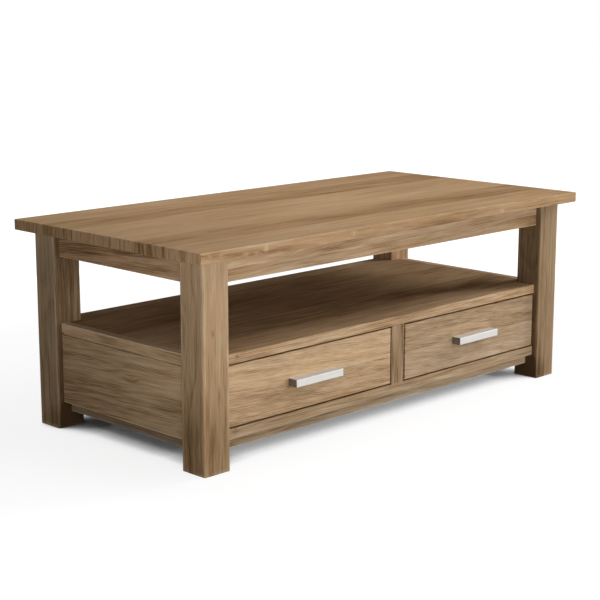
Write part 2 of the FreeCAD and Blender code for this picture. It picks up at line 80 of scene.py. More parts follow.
class Cut(Enum):
    """How a board lies: the axes along its grain, across its face and through its thickness."""

    FLAT_LENGTHWISE = (0, 1, 2)
    EDGE_LENGTHWISE = (0, 2, 1)
    FLAT_CROSSWISE = (1, 0, 2)
    EDGE_CROSSWISE = (1, 2, 0)
    UPRIGHT = (2, 0, 1)


class Side(Enum):
    """The two ends of the table, with the sign of X at each."""

    LEFT = -1
    RIGHT = 1

    @property
    def word(self) -> str:
        """The side's name as it stands in the names of pieces."""
        return self.name.lower()


class Face(Enum):
    """A way that a face of a board looks: the axis and its sign."""

    LEFT = (0, -1)
    FRONT = (1, -1)
    UP = (2, 1)


class Blend(Enum):
    """How a second colour acts on a first one."""

    OVER = "MIX"
    TIMES = "MULTIPLY"


@dataclass(frozen=True)
class Pattern:
    """Smooth noise, by its waves per metre along and across the grain and its finer layers."""

    along: float
    across: float
    detail: float = 2.0
    roughness: float = 0.5

    @property
    def scale(self) -> Point:
        """The waves per metre along the grain, across it and into the board."""
        return (self.along, self.across, self.across)

    def shortened(self, share: float) -> "Pattern":
        """The same pattern with more waves along the grain."""
        return replace(self, along=self.along * share)


def opaque(colour: Colour) -> tuple[float, ...]:
    """A colour with nothing of what is behind it."""
    return (*colour, 1.0)


class Graph:
    """A node tree, with a short method for each kind of node that the finishes use."""

    def __init__(self, tree: bpy.types.NodeTree) -> None:
        """Start from an empty tree.

        Args:
            tree: The node tree of a material or of the world.
        """
        self.tree = tree
        self.tree.nodes.clear()

    @classmethod
    def of_material(cls, material: bpy.types.Material) -> "Graph":
        """The emptied graph of a material."""
        material.use_nodes = True
        return cls(material.node_tree)

    def node(self, kind: str, inputs: dict[Union[int, str], Value], **settings: object) -> bpy.types.Node:
        """Add a node.

        Args:
            kind: The node's type, without its ShaderNode prefix.
            inputs: A constant or a socket for each input, by name or number.
            **settings: Attributes of the node itself.

        Returns:
            The new node.
        """
        node = self.tree.nodes.new(f"ShaderNode{kind}")
        for name, setting in settings.items():
            setattr(node, name, setting)
        for key, value in inputs.items():
            if isinstance(value, Socket):
                self.tree.links.new(value, node.inputs[key])
            else:
                node.inputs[key].default_value = value
        return node

    def math(self, operation: str, *values: Value) -> Socket:
        """The result of a Math node on up to three values."""
        return self.node("Math", dict(enumerate(values)), operation=operation).outputs[0]

    def times(self, value: Value, other: Value) -> Socket:
        """The product of two values."""
        return self.math("MULTIPLY", value, other)

    def total(self, *values: Value) -> Socket:
        """The sum of several values.

        Args:
            *values: The values, at least two of them.

        Returns:
            Their sum.
        """
        result = values[0]
        for value in values[1:]:
            result = self.math("ADD", result, value)
        return result

    def spread(self, value: Value, amount: float) -> Socket:
        """A value from 0 to 1, centred on zero and multiplied."""
        return self.math("MULTIPLY_ADD", value, amount, -amount / 2)

    def smooth(self, value: Value, low: float, high: float) -> Socket:
        """A soft step from 0 at low to 1 at high."""
        inputs = {"Value": value, "From Min": low, "From Max": high}
        return self.node("MapRange", inputs, interpolation_type="SMOOTHSTEP").outputs["Result"]

    def place(self) -> Socket:
        """The point on the piece, in metres in the table's own frame."""
        return self.node("TexCoord", {}).outputs["Object"]

    def split(self, vector: Value) -> tuple[Socket, ...]:
        """The three parts of a vector."""
        return tuple(self.node("SeparateXYZ", {0: vector}).outputs)

    def join(self, *parts: Value) -> Socket:
        """A vector from its three parts."""
        return self.node("CombineXYZ", dict(enumerate(parts))).outputs[0]

    def length(self, vector: Value) -> Socket:
        """The length of a vector."""
        return self.node("VectorMath", {0: vector}, operation="LENGTH").outputs["Value"]

    def noise(self, vector: Value, pattern: Pattern, shift: Sequence[float] = (0.0, 0.0, 0.0)) -> Socket:
        """Smooth noise from 0 to 1.

        Args:
            vector: The point at which it is read.
            pattern: Its waves and layers.
            shift: An offset, so that boards of one timber differ.

        Returns:
            The noise value.
        """
        inputs = {"Vector": vector, "Location": shift, "Scale": pattern.scale}
        spot = self.node("Mapping", inputs).outputs[0]
        inputs = {"Vector": spot, "Scale": 1.0, "Detail": pattern.detail, "Roughness": pattern.roughness}
        return self.node("TexNoise", inputs).outputs["Fac"]

    def lucky(self, number: Value) -> tuple[Socket, ...]:
        """Three values from 0 to 1 that are drawn afresh for each whole number."""
        return self.split(self.node("TexWhiteNoise", {"W": number}, noise_dimensions="1D").outputs["Color"])

    def ramp(self, value: Value, colours: Sequence[Colour]) -> Socket:
        """A colour read from evenly spaced colours.

        Args:
            value: Where it is read, from 0 to 1.
            colours: The colours, from the one at 0 to the one at 1.

        Returns:
            The colour.
        """
        node = self.node("ValToRGB", {0: value})
        elements = node.color_ramp.elements
        while len(elements) < len(colours):
            elements.new(0.5)
        for number, colour in enumerate(colours):
            elements[number].position = number / (len(colours) - 1)
            elements[number].color = opaque(colour)
        return node.outputs["Color"]

    def mix(self, share: Value, colour: Value, other: Value, blend: Blend = Blend.OVER) -> Socket:
        """Two colours in one, by the share of the second: a Mix node has them at inputs 6 and 7."""
        inputs = {0: share, 6: colour, 7: other}
        return self.node("Mix", inputs, data_type="RGBA", blend_type=blend.value).outputs[2]

    def bump(self, height: Value, depth: float, strength: float) -> Socket:
        """A surface normal pressed in by a height from 0 to 1."""
        return self.node("Bump", {"Height": height, "Distance": depth, "Strength": strength}).outputs[0]

    def surface(self, shader: bpy.types.Node) -> None:
        """Make a shader node the surface of the material."""
        self.node("OutputMaterial", {"Surface": shader.outputs[0]})


@dataclass(frozen=True)
class Knot:
    """A knot, stretched along the grain, which bends the grain lines around it and has a shade of its own."""

    place: Point
    reach: float = 12 * MM
    lift: float = 8 * MM
    shade: float = -0.3
    stretch: float = 2.5


def stain(place: Point, reach: float, shade: float, stretch: float = 1.0) -> Knot:
    """A soft paler or darker patch that leaves the grain lines as they are: a stain on the front apron, and
    painted light and painted shade on the shelf and at the feet of the legs.
    """
    return Knot(place, reach, lift=0.0, shade=shade, stretch=stretch)


@dataclass(frozen=True)
class Board:
    """One board of the table and how its grain lies in it.

    Attributes:
        stave: The width of its staves.
        tint: What its timber's colours are multiplied by: the board's own colour, and
        also painted light and painted shade that stand for how the light falls on it.
        figure: What the contrasts of its grain are multiplied by.
        bands: What those of the broad stripes are multiplied by besides.
        edge_figure: How much stronger the contrasts are on its long edges.
        fleck: How short its fine lines are.
        fade: How much paler it gets per metre along, across and into it, a painted slope
        of light and shade.
        lean: How far the grain drifts across it per metre along it.
        through: How fast the patterns change through its thickness.
        quartered: Whether it was cut far beside the pith, so that its rings stand upright.
        dark_edges: Whether its edges are darker inside the gaps round the drawers, a painted shade.
        arris: The width of its sanded edges and how much paler they are: wear, and also a painted highlight
        where they are paler and a painted shade at the gaps where they are darker.
        tones: The shades of its staves, where they aren't left to chance; on the shelf its darker staves are
        painted shade under the top.
        faces: How much paler single faces of it are, as painted light and painted shade for how the light
        falls on each face.
        draw: Which of its random draws is used.
    """

    node: str
    cut: Cut
    stave: float = 1.0
    tint: Colour = (1.0, 1.0, 1.0)
    figure: float = 1.0
    bands: float = 1.0
    edge_figure: float = 0.0
    fleck: float = 1.0
    fade: Point = (0.0, 0.0, 0.0)
    lean: float = 0.0
    through: float = 0.25
    quartered: bool = False
    dark_edges: bool = False
    arris: Span = (2.4 * MM, 0.35)
    tones: tuple[float, ...] = ()
    faces: tuple[tuple[Face, float], ...] = ()
    knots: tuple[Knot, ...] = ()
    draw: int = 0

    @property
    def centre(self) -> Vector:
        """The middle of the board."""
        low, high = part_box(self.node)
        return (low + high) / 2

    @property
    def half_size(self) -> Vector:
        """Half of the board's size along each axis."""
        low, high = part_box(self.node)
        return (high - low) / 2

    def luck(self) -> random.Random:
        """The random draws of this board, the same each time."""
        return random.Random(f"{self.node} {self.draw}")


@dataclass(frozen=True)
class Timber:
    """A timber with its surface finish, its patterns given from broad to fine, each with its contrast.

    A step is where noise starts and ends to count, and a band how deep into a board an edge or face counts.
    Pores keep to the grain lines by the share in lines. A ring's line rises and falls over parts of a ring,
    and its mean strength keeps the mean shade in its place. Staves are taken from the patterns by chance, up
    to one run apart, with a soft glue line between them. The pith is under a board, and by chance beside it.
    """

    name: str
    palette: tuple[Colour, ...]
    flow: Pattern = Pattern(5, 10, detail=1.0)
    sway: float = 14 * MM
    band: Pattern = Pattern(2.2, 15)
    band_contrast: float = 0.5
    stripe: Pattern = Pattern(6, 55)
    stripe_contrast: float = 0.7
    streak: Pattern = Pattern(8, 170, detail=3.0, roughness=0.6)
    streak_contrast: float = 0.9
    dash: Pattern = Pattern(17, 420, roughness=0.6)
    dash_contrast: float = 0.8
    pore: Pattern = Pattern(50, 1500, detail=1.0)
    pore_contrast: float = 0.3
    pore_step: Span = (0.6, 0.72)
    pore_in_lines: float = 0.7
    ring_pitch: float = 3.6 * MM
    ring_contrast: float = 0.3
    line_mean: float = 0.25
    line_rise: Span = (0.35, 0.85)
    line_fall: Span = (1.0, 0.88)
    drift: Pattern = Pattern(0.8, 5, detail=1.0)
    drift_width: float = 34 * MM
    ripple: Pattern = Pattern(9, 45)
    ripple_width: float = 3.0 * MM
    pith_spread: float = 0.26
    pith_depth: float = 30 * MM
    quarter_offset: float = 0.25
    stave_contrast: float = 0.22
    stave_run: float = 7.0
    glue_line: float = 0.1
    end_contrast: float = 1.5
    end_shade: float = 0.06
    edge_band: Span = (2.0 * MM, 0.5 * MM)
    face_band: Span = (1.5 * MM, 0.3 * MM)
    worn_patch: Pattern = Pattern(12, 40)
    worn_step: Span = (0.25, 0.55)
    worn_core: float = 0.4
    hue_patch: Pattern = Pattern(4, 24)
    hue_step: Span = (0.3, 0.7)
    hues: tuple[Colour, ...] = ((1.02, 0.995, 0.975), (0.98, 1.005, 1.025))
    # Painted shade: the colour that edges are multiplied by inside the gaps round the drawers.
    joint: Colour = (0.78, 0.62, 0.44)
    joint_rim: float = 0.8 * MM
    joint_depth: Span = (0.5 * MM, 3.0 * MM)
    roughness: float = 0.5
    streak_sheen: float = 0.12
    pore_sheen: float = 0.2
    gloss: float = 0.0
    pore_height: float = -1.2
    line_height: float = -0.5
    grain_depth: float = 0.25 * MM
    grain_strength: float = 0.25

    def dress(self, board: Board) -> None:
        """Give a board of the frame this finish, with grain of its own.

        Args:
            board: The board to dress.
        """
        material = bpy.data.materials.new(f"{self.name}.{board.node}")
        graph = Graph.of_material(material)
        grain = Grain(graph, self, board)
        graph.surface(graph.node("BsdfPrincipled", {
            "Base Color": grain.colour(),
            "Roughness": grain.sheen(),
            "Normal": grain.normal(),
            "Specular IOR Level": self.gloss,
        }))
        put_on(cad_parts[board.node], material)
        LOG.info("%s in %s", board.node, self.name)


class Grain:
    """The grain of one board, drawn through its solid in the graph of its material."""

    STAVE_DRAWS = 1000
    FARTHEST_SHIFT = 20
    MIDDLE_SHADE = 0.5

    def __init__(self, graph: Graph, timber: Timber, board: Board) -> None:
        """Find where a point lies in the board and read the patterns there.

        Args:
            graph: The material's graph.
            timber: The board's timber.
            board: The board.
        """
        self.graph = graph
        self.timber = timber
        self.board = board
        luck = board.luck()
        parts = graph.split(graph.place())
        self.local = [graph.math("SUBTRACT", part, middle) for part, middle in zip(parts, board.centre)]
        self.spot = [self.local[axis] for axis in board.cut.value]
        along, across, deep = self.spot
        self.stave = graph.math("FLOOR", graph.math("DIVIDE", across, board.stave))
        number = graph.math("ADD", self.stave, luck.uniform(0, self.STAVE_DRAWS))
        self.draw, self.aside, start = graph.lucky(number)
        self.shift = [luck.uniform(-self.FARTHEST_SHIFT, self.FARTHEST_SHIFT) for _ in range(3)]
        self.knots = [(knot, self.near(knot)) for knot in board.knots]

        reach = [board.half_size[axis] for axis in board.cut.value]
        self.end = self.outside(along, reach[0])
        self.rim = self.outside(across, reach[1])
        run = graph.math("MULTIPLY_ADD", start, timber.stave_run, along)
        flow = graph.noise(graph.join(run, across, deep), timber.flow, self.shift)
        lean = graph.times(along, board.lean)
        lifts = [graph.times(near, knot.lift) for knot, near in self.knots]
        bent = graph.total(across, graph.spread(flow, timber.sway), lean, *lifts)
        slow = graph.math("MULTIPLY_ADD", self.rim, 1 - board.through, board.through)
        self.point = graph.join(run, bent, graph.times(deep, slow))

        self.line = self.rings(graph.join(run, bent, deep))
        self.streak = self.pattern(timber.streak.shortened(board.fleck))
        self.dash = self.pattern(timber.dash.shortened(board.fleck))
        self.pore = self.pores()

    def pattern(self, pattern: Pattern) -> Socket:
        """One of the board's patterns, from 0 to 1."""
        return self.graph.noise(self.point, pattern, self.shift)

    def outside(self, part: Socket, reach: float) -> Socket:
        """1 on the two sides of the board that lie at this reach from its middle, and 0 between them."""
        low, high = self.timber.edge_band
        return self.graph.smooth(self.graph.math("ABSOLUTE", part), reach - low, reach - high)

    def near(self, knot: Knot) -> Socket:
        """How near the point is to a knot.

        Args:
            knot: The knot.

        Returns:
            1 in the middle of the knot, falling to 0 at its reach.
        """
        graph = self.graph
        middle = Vector(knot.place) - self.board.centre
        axes = self.board.cut.value
        offsets = [graph.math("SUBTRACT", part, middle[axis]) for part, axis in zip(self.spot, axes)]
        offsets[0] = graph.math("DIVIDE", offsets[0], knot.stretch)
        return graph.smooth(graph.length(graph.join(*offsets)), knot.reach, 0.0)

    def rings(self, point: Socket) -> Socket:
        """The growth rings that the board was cut through.

        Args:
            point: The point along, across and into the board.

        Returns:
            How strongly a grain line shows, from 0 to 1.
        """
        graph, timber, board = self.graph, self.timber, self.board
        _, across, deep = graph.split(point)
        middle = graph.math("MULTIPLY_ADD", self.stave, -board.stave, -board.stave / 2)
        far = timber.quarter_offset if board.quartered else 0.0
        beside = graph.total(across, middle, graph.spread(self.aside, -timber.pith_spread), far)
        below = graph.math("ADD", deep, timber.pith_depth)
        squares = graph.math("MULTIPLY_ADD", below, below, graph.times(beside, beside))
        radius = graph.total(
            graph.math("SQRT", squares),
            graph.spread(graph.noise(point, timber.drift, self.shift), timber.drift_width),
            graph.spread(graph.noise(point, timber.ripple, self.shift), timber.ripple_width),
        )
        phase = graph.math("DIVIDE", radius, timber.ring_pitch)
        strength, _, _ = graph.lucky(graph.math("FLOOR", phase))
        part = graph.math("FRACT", phase)
        rise = graph.smooth(part, *timber.line_rise)
        fall = graph.smooth(part, *timber.line_fall)
        return graph.times(graph.times(rise, fall), strength)

    def pores(self) -> Socket:
        """Find the open pores, which are strongest in the grain lines.

        Returns:
            How far the point is in a pore, from 0 to 1.
        """
        graph, timber = self.graph, self.timber
        marks = graph.smooth(self.pattern(timber.pore), *timber.pore_step)
        share = graph.math("MULTIPLY_ADD", self.line, timber.pore_in_lines, 1 - timber.pore_in_lines)
        return graph.times(marks, share)

    def tone(self) -> Socket:
        """Tell the staves apart.

        Returns:
            How much paler than the others the stave at the point is.
        """
        graph, timber, board = self.graph, self.timber, self.board
        if not board.tones:
            return graph.spread(self.draw, timber.stave_contrast)
        across = self.spot[1]
        number = graph.math("ADD", graph.math("DIVIDE", across, board.stave), len(board.tones) / 2)
        steps = []
        for place, (before, tone) in enumerate(zip(board.tones, board.tones[1:]), 1):
            step = graph.smooth(number, place - timber.glue_line, place + timber.glue_line)
            steps.append(graph.times(step, tone - before))
        return graph.total(board.tones[0], *steps)

    def depths(self) -> list[Socket]:
        """How far the point is inside the board's box, along each axis."""
        graph, half_size = self.graph, self.board.half_size
        return [graph.math("SUBTRACT", half, graph.math("ABSOLUTE", part))
                for part, half in zip(self.local, half_size)]

    def on_face(self, face: Face) -> Socket:
        """1 on one face of the board, and 0 inside it and on the others.

        Args:
            face: The face.

        Returns:
            The mask.
        """
        axis, sign = face.value
        half = self.board.half_size[axis]
        low, high = self.timber.face_band
        return self.graph.smooth(self.graph.times(self.local[axis], sign), half - low, half - high)

    def wear(self) -> Socket:
        """Find the sanded arrises, which carry wear and also a painted highlight and painted shade.

        Returns:
            How worn the point is, from 0 to 1.
        """
        graph, timber = self.graph, self.timber
        first, second, third = self.depths()
        low = graph.math("MINIMUM", first, second)
        high = graph.math("MAXIMUM", first, second)
        next_least = graph.math("MAXIMUM", low, graph.math("MINIMUM", high, third))
        width = self.board.arris[0]
        edge = graph.smooth(next_least, width, timber.worn_core * width)
        patchy = graph.smooth(graph.noise(self.point, timber.worn_patch), *timber.worn_step)
        return graph.times(edge, patchy)

    def inside_joint(self) -> Socket:
        """Find the gaps round the edges of a board that faces the front, whose edges get a painted shade.

        Returns:
            How far the point is inside one, from 0 to 1.
        """
        graph, timber = self.graph, self.timber
        beside, behind, below = self.depths()
        rim = graph.smooth(graph.math("MINIMUM", beside, below), timber.joint_rim, 0.0)
        return graph.times(rim, graph.smooth(behind, *timber.joint_depth))

    def shade(self) -> Socket:
        """Add up all that makes the wood paler or darker.

        Returns:
            How pale the point is, from 0 for the darkest of the timber to 1.
        """
        graph, timber, board = self.graph, self.timber, self.board
        broad = graph.total(
            graph.spread(self.pattern(timber.band), timber.band_contrast * board.figure * board.bands ** 2),
            graph.spread(self.pattern(timber.stripe), timber.stripe_contrast * board.figure * board.bands),
        )
        ring_contrast = timber.ring_contrast * board.figure
        fine = graph.total(
            graph.spread(self.streak, timber.streak_contrast * board.figure),
            graph.spread(self.dash, timber.dash_contrast * board.figure),
            graph.times(self.line, -ring_contrast),
        )
        lively = graph.math("MULTIPLY_ADD", self.rim, board.edge_figure, 1.0)
        livelier = graph.math("MULTIPLY_ADD", self.end, timber.end_contrast, lively)
        return graph.total(
            graph.times(broad, lively),
            graph.times(fine, livelier),
            self.tone(),
            graph.times(self.end, -timber.end_shade),
            graph.times(self.pore, -timber.pore_contrast),
            # The arris, face, slope and patch terms below also hold painted light and painted shade.
            graph.times(self.wear(), board.arris[1]),
            *(graph.times(self.on_face(face), paler) for face, paler in board.faces),
            *(graph.times(part, fade) for part, fade in zip(self.spot, board.fade) if fade),
            self.MIDDLE_SHADE + ring_contrast * timber.line_mean,
            *(graph.times(near, knot.shade) for knot, near in self.knots),
        )

    def colour(self) -> Socket:
        """Colour the wood by its shade, with patches of another hue and with painted shade inside the gaps.

        Returns:
            The colour at the point.
        """
        graph, timber, board = self.graph, self.timber, self.board
        palette = [tuple(part * tint for part, tint in zip(colour, board.tint)) for colour in timber.palette]
        colour = graph.ramp(self.shade(), palette)
        noise = graph.noise(self.point, timber.hue_patch, self.shift[::-1])
        hue = graph.ramp(graph.smooth(noise, *timber.hue_step), timber.hues)
        colour = graph.mix(1.0, colour, hue, Blend.TIMES)
        # Painted shade inside the gaps round the drawer fronts.
        if board.dark_edges:
            colour = graph.mix(self.inside_joint(), colour, opaque(timber.joint), Blend.TIMES)
        return colour

    def sheen(self) -> Socket:
        """Make pores dull and streaks uneven.

        Returns:
            The roughness at the point.
        """
        graph, timber = self.graph, self.timber
        streaks = graph.spread(self.streak, timber.streak_sheen)
        return graph.total(streaks, graph.times(self.pore, timber.pore_sheen), timber.roughness)

    def normal(self) -> Socket:
        """Press in the pores and the grain lines.

        Returns:
            The surface normal at the point.
        """
        graph, timber = self.graph, self.timber
        pores = graph.times(self.pore, timber.pore_height)
        height = graph.total(self.dash, pores, graph.times(self.line, timber.line_height))
        return graph.bump(height, timber.grain_depth, timber.grain_strength)


OAK = Timber("oak", (
    (0.150, 0.085, 0.040),
    (0.270, 0.168, 0.088),
    (0.400, 0.265, 0.150),
    (0.480, 0.335, 0.205),
    (0.580, 0.430, 0.290),
))
DRAWER_TIMBER = Timber("drawer_timber", (
    (0.36, 0.24, 0.13),
    (0.52, 0.38, 0.23),
    (0.62, 0.47, 0.30),
    (0.68, 0.53, 0.36),
    (0.74, 0.60, 0.43),
), ring_pitch=5 * MM, ring_contrast=0.16, pore_contrast=0.1, gloss=0.25, roughness=0.6)
INNER_TIMBER = Timber("inner_timber", (
    (0.30, 0.19, 0.10),
    (0.46, 0.32, 0.18),
    (0.56, 0.42, 0.27),
    (0.62, 0.48, 0.32),
    (0.68, 0.55, 0.38),
), ring_pitch=6 * MM, ring_contrast=0.28, pore_contrast=0.05, gloss=0.2, roughness=0.7)


@dataclass(frozen=True)
class Plywood:
    """Thin plywood: a pale face veneer, with its layers showing on the edges."""

    name: str = "drawer_ply"
    pale: Colour = (0.66, 0.52, 0.35)
    dark: Colour = (0.47, 0.34, 0.20)
    layer: float = 1.0 * MM
    layer_shade: float = -0.35
    mean_shade: float = 0.75
    fibre: Pattern = Pattern(5, 160, detail=3.0, roughness=0.6)
    fibre_contrast: float = 0.7
    fibre_sheen: float = 0.1
    fibre_depth: float = 0.2 * MM
    fibre_strength: float = 0.2
    figure: Pattern = Pattern(2, 14)
    figure_contrast: float = 0.6
    roughness: float = 0.6

    def dress(self, node: str) -> None:
        """Give a drawer base this finish.

        Args:
            node: The base's node in the frame.
        """
        material = bpy.data.materials.new(f"{self.name}.{node}")
        graph = Graph.of_material(material)
        place = graph.place()
        height = graph.math("SUBTRACT", graph.split(place)[2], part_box(node)[0].z)
        odd = graph.math("MODULO", graph.math("FLOOR", graph.math("DIVIDE", height, self.layer)), 2.0)
        fibre = graph.noise(place, self.fibre)
        shade = graph.total(
            graph.spread(fibre, self.fibre_contrast),
            graph.spread(graph.noise(place, self.figure), self.figure_contrast),
            self.mean_shade,
            graph.times(odd, self.layer_shade),
        )
        graph.surface(graph.node("BsdfPrincipled", {
            "Base Color": graph.ramp(shade, (self.dark, self.pale)),
            "Roughness": graph.total(graph.spread(fibre, self.fibre_sheen), self.roughness),
            "Normal": graph.bump(fibre, self.fibre_depth, self.fibre_strength),
        }))
        put_on(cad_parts[node], material)
        LOG.info("%s in %s", node, self.name)


@dataclass(frozen=True)
class Metal:
    """A metal with fine brushed or plated marks, and with the colours of a bar's upper face and of the
    painted shade on its ends.
    """

    name: str
    pale: Colour
    dark: Colour
    marks: Pattern
    mark_contrast: float = 1.4
    mark_strength: float = 0.3
    mark_depth: float = 0.03 * MM
    clouds: Pattern = Pattern(60, 60)
    cloud_contrast: float = 0.6
    mean_shade: float = 0.5
    polished: Colour = (0.67, 0.66, 0.64)
    sawn: Colour = (0.2, 0.17, 0.13)
    face_band: Span = (0.4 * MM, 0.1 * MM)
    metallic: float = 1.0
    roughness: float = 0.32
    uneven: float = 0.16

    def material(self, bar: str = "") -> bpy.types.Material:
        """Make the material.

        Args:
            bar: The node of the bar that it is for, if it is for one.

        Returns:
            The finished material.
        """
        material = bpy.data.materials.new(f"{self.name}.{bar}" if bar else self.name)
        graph = Graph.of_material(material)
        place = graph.place()
        marks = graph.noise(place, self.marks)
        cloud = graph.noise(place, self.clouds)
        uneven = [graph.spread(marks, self.uneven), graph.spread(cloud, self.uneven)]
        shades = [graph.spread(marks, self.mark_contrast), graph.spread(cloud, self.cloud_contrast)]
        colour = graph.ramp(graph.total(*shades, self.mean_shade), (self.dark, self.pale))
        if bar:
            colour = self.on_bar(graph, bar, colour)
        graph.surface(graph.node("BsdfPrincipled", {
            "Base Color": colour,
            "Roughness": graph.total(*uneven, self.roughness),
            "Normal": graph.bump(marks, self.mark_depth, self.mark_strength),
            "Metallic": self.metallic,
        }))
        return material

    def on_bar(self, graph: Graph, bar: str, colour: Socket) -> Socket:
        """The colour on a bar along X, which has a polished upper face and a painted shade on its ends.

        Args:
            graph: The material's graph.
            bar: The bar's node in the frame.
            colour: The colour of its other faces.

        Returns:
            The colour at a point of the bar.
        """
        low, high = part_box(bar)
        middle, half = (low.x + high.x) / 2, (high.x - low.x) / 2
        inner, outer = self.face_band
        x, _, z = graph.split(graph.place())
        beside = graph.math("ABSOLUTE", graph.math("SUBTRACT", x, middle))
        # Painted shade: the ends of the bar take a dark colour.
        end = graph.smooth(beside, half - inner, half - outer)
        upper = graph.smooth(z, high.z - inner, high.z - outer)
        return graph.mix(end, graph.mix(upper, colour, opaque(self.polished)), opaque(self.sawn))


HANDLE_METAL = Metal(
    "handle_metal", pale=(0.72, 0.70, 0.67), dark=(0.62, 0.60, 0.57),
    marks=Pattern(14, 1600, detail=3.0, roughness=0.6), metallic=0.2, roughness=0.42)
SCREW_STEEL = Metal(
    "screw_steel", pale=(0.66, 0.66, 0.64), dark=(0.50, 0.49, 0.46),
    marks=Pattern(350, 350, detail=3.0, roughness=0.6), mark_depth=0.02 * MM)


def put_on(piece: bpy.types.Object, material: bpy.types.Material) -> None:
    """Make a material the only one of a piece."""
    piece.data.materials.clear()
    piece.data.materials.append(material)


def new_piece(name: str, shape: bmesh.types.BMesh) -> bpy.types.Object:
    """Make an object of a finished shape.

    Args:
        name: The object's name.
        shape: Its shape in the table's frame, which is freed.

    Returns:
        The object, at the origin and in the scene.
    """
    mesh = bpy.data.meshes.new(name)
    shape.to_mesh(mesh)
    shape.free()
    piece = bpy.data.objects.new(name, mesh)
    bpy.context.scene.collection.objects.link(piece)
    return piece


@dataclass(frozen=True)
class Screw:
    """A wood screw with a round head, a cross recess and a thread, from the outside of its head to its tip.

    The dome is the outline of the head and the cross floor the size of the recess's foot, both in shares. The
    thread starts inside the core, at the core sink, and each of its flanks takes a share of the pitch.
    """

    head: Vector
    tip: Vector
    head_radius: float = 4.0 * MM
    head_height: float = 2.5 * MM
    dome: tuple[Span, ...] = ((0.62, 0.0), (0.80, 0.10), (0.94, 0.36), (1.0, 0.72), (0.97, 1.0))
    core: float = 1.45 * MM
    core_sink: float = 0.93
    point: float = 4.5 * MM
    point_end: float = 0.06
    neck: float = 5.0 * MM
    thread: float = 2.0 * MM
    pitch: float = 1.8 * MM
    flank: float = 0.26
    arm: float = 1.9 * MM
    slit: float = 0.5 * MM
    recess: float = 1.5 * MM
    cross_floor: float = 0.55
    around: int = 24
    around_thread: int = 14

    def add_to(self, shape: bmesh.types.BMesh) -> None:
        """Add this screw to a shape.

        Args:
            shape: The shape that takes the screw.
        """
        screw = bmesh.new()
        axis = self.tip - self.head
        rim = self.turned(screw, axis.length)
        self.cross(screw, rim)
        self.ridge(screw, axis.length)
        for face in screw.faces:
            face.smooth = True
        bmesh.ops.recalc_face_normals(screw, faces=screw.faces)
        turn = axis.to_track_quat("Z", "Y").to_matrix().to_4x4()
        bmesh.ops.transform(screw, matrix=Matrix.Translation(self.head) @ turn, verts=screw.verts)
        mesh = bpy.data.meshes.new("screw")
        screw.to_mesh(mesh)
        screw.free()
        shape.from_mesh(mesh)
        bpy.data.meshes.remove(mesh)

    def turned(self, shape: bmesh.types.BMesh, length: float) -> list[bmesh.types.BMEdge]:
        """The head's dome, the core and the point, turned about the screw's axis.

        Args:
            shape: The shape that takes them.
            length: The screw's whole length.

        Returns:
            The edges round the flat middle of the head.
        """
        outline = [(radius * self.head_radius, height * self.head_height) for radius, height in self.dome]
        outline += [
            (self.core, self.head_height),
            (self.core, length - self.point),
            (self.point_end * self.head_radius, length),
        ]
        verts = [shape.verts.new((radius, 0.0, height)) for radius, height in outline]
        edges = [shape.edges.new(pair) for pair in zip(verts, verts[1:])]
        bmesh.ops.spin(shape, geom=verts + edges, cent=(0, 0, 0), axis=(0, 0, 1), angle=2 * math.pi,
                       steps=self.around, use_merge=True)
        loose = [edge for edge in shape.edges if edge.is_boundary]
        rim = [edge for edge in loose if all(vert.co.z < self.head_height for vert in edge.verts)]
        bmesh.ops.holes_fill(shape, edges=[edge for edge in loose if edge not in rim], sides=self.around)
        return rim

    def cross(self, shape: bmesh.types.BMesh, rim: list[bmesh.types.BMEdge]) -> None:
        """The flat middle of the head with its cross recess.

        Args:
            shape: The shape that takes them.
            rim: The edges round the flat middle.
        """
        corner = ((self.arm, self.slit), (self.slit, self.slit), (self.slit, self.arm))
        outline = []
        for quarter in range(4):
            turn = Matrix.Rotation(quarter * math.pi / 2, 2)
            outline += [turn @ Vector(point) for point in corner]
        mouth = [shape.verts.new((*point, 0.0)) for point in outline]
        foot = [shape.verts.new((*(point * self.cross_floor), self.recess)) for point in outline]
        ring = [shape.edges.new(pair) for pair in zip(mouth, mouth[1:] + mouth[:1])]
        for number in range(len(mouth)):
            after = (number + 1) % len(mouth)
            shape.faces.new((mouth[number], mouth[after], foot[after], foot[number]))
        shape.faces.new(foot)
        bmesh.ops.bridge_loops(shape, edges=rim + ring)

    def ridge(self, shape: bmesh.types.BMesh, length: float) -> None:
        """The thread, wound round the core from the neck to the point.

        Args:
            shape: The shape that takes it.
            length: The screw's whole length.
        """
        start = self.head_height + self.neck
        turns = math.floor((length - self.point - start) / self.pitch)
        inside, half = self.core * self.core_sink, self.pitch * self.flank
        outline = ((inside, start), (self.thread, start + half), (inside, start + 2 * half))
        verts = [shape.verts.new((radius, 0.0, height)) for radius, height in outline]
        edges = [shape.edges.new(pair) for pair in zip(verts, verts[1:] + verts[:1])]
        shape.faces.new(verts)
        steps = turns * self.around_thread
        climb = (0, 0, turns * self.pitch / steps)
        wound = bmesh.ops.spin(shape, geom=verts + edges, cent=(0, 0, 0), axis=(0, 0, 1),
                               angle=turns * 2 * math.pi, steps=steps, dvec=climb)
        shape.faces.new([vert for vert in wound["geom_last"] if isinstance(vert, bmesh.types.BMVert)])


SCREW_CREASE = math.radians(35)


def fit_screws(node: str, body: str, screws: Sequence[Screw], steel: bpy.types.Material) -> None:
    """Put threaded screws in the place of a node of the frame.

    Args:
        node: The node of the plain screws.
        body: The body that they ride on.
        screws: The screws of this node.
        steel: Their finish.
    """
    shape = bmesh.new()
    for screw in screws:
        screw.add_to(shape)
    piece = new_piece(f"{node}_threaded", shape)
    piece.data.set_sharp_from_angle(angle=SCREW_CREASE)
    put_on(piece, steel)
    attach(piece, body)
    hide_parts(node)
    LOG.info("%s: %d screws", piece.name, len(screws))


